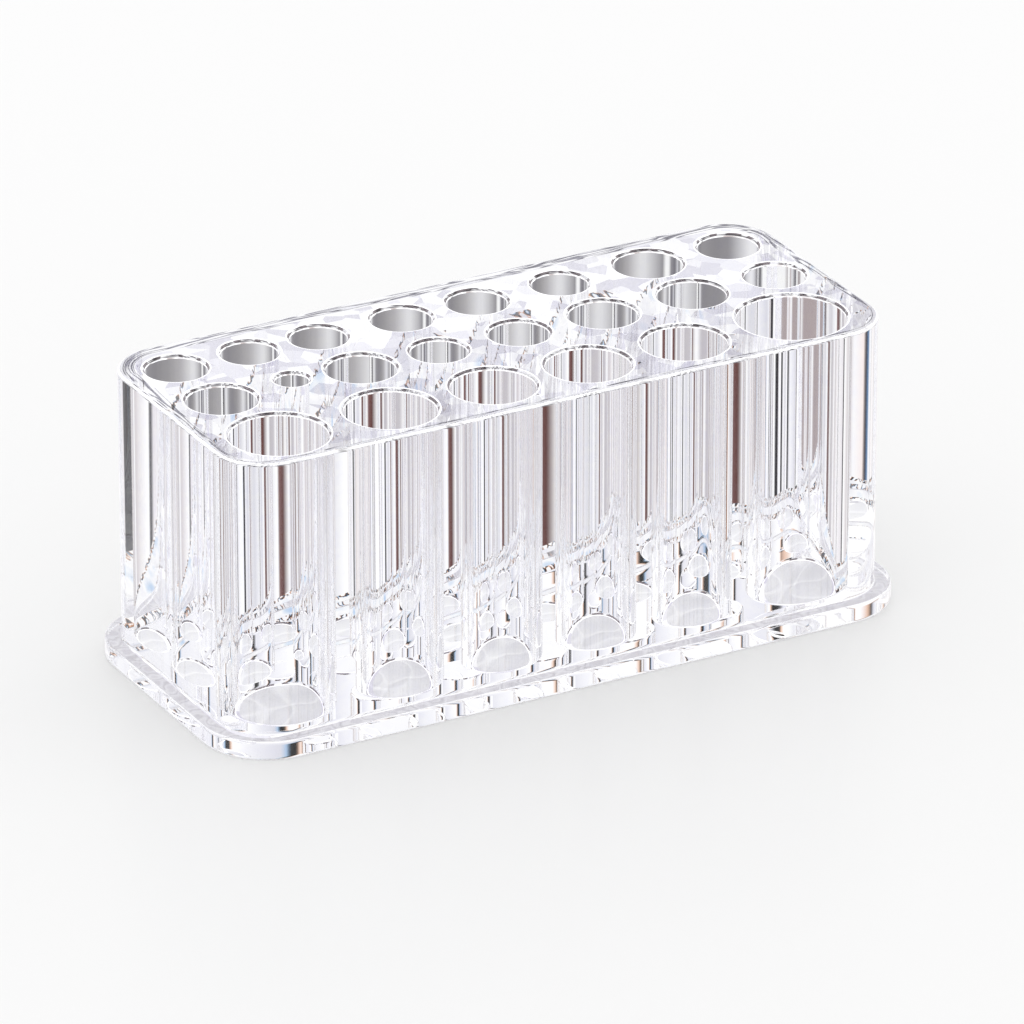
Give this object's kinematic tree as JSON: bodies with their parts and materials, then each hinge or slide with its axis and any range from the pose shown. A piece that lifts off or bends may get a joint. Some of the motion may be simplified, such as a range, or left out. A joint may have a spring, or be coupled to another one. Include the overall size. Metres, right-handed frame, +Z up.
{
  "type": "makeup brush holder",
  "caption": "Desktop makeup brush holder: a clear acrylic block with rows of round wells in graded widths, bonded on a flanged base plate.",
  "frame": {"origin": "middle of the underside of the base plate", "axes": "+X along the length, -Y out of the front, where the widest wells stand, +Z up"},
  "size_m": [0.136, 0.06, 0.0551],
  "materials": {
    "clear_acrylic": "flame-polished clear"
  },
  "bodies": {
    "root": {"base_plate": "clear_acrylic", "bored_block": "clear_acrylic"}
  },
  "joints": []
}
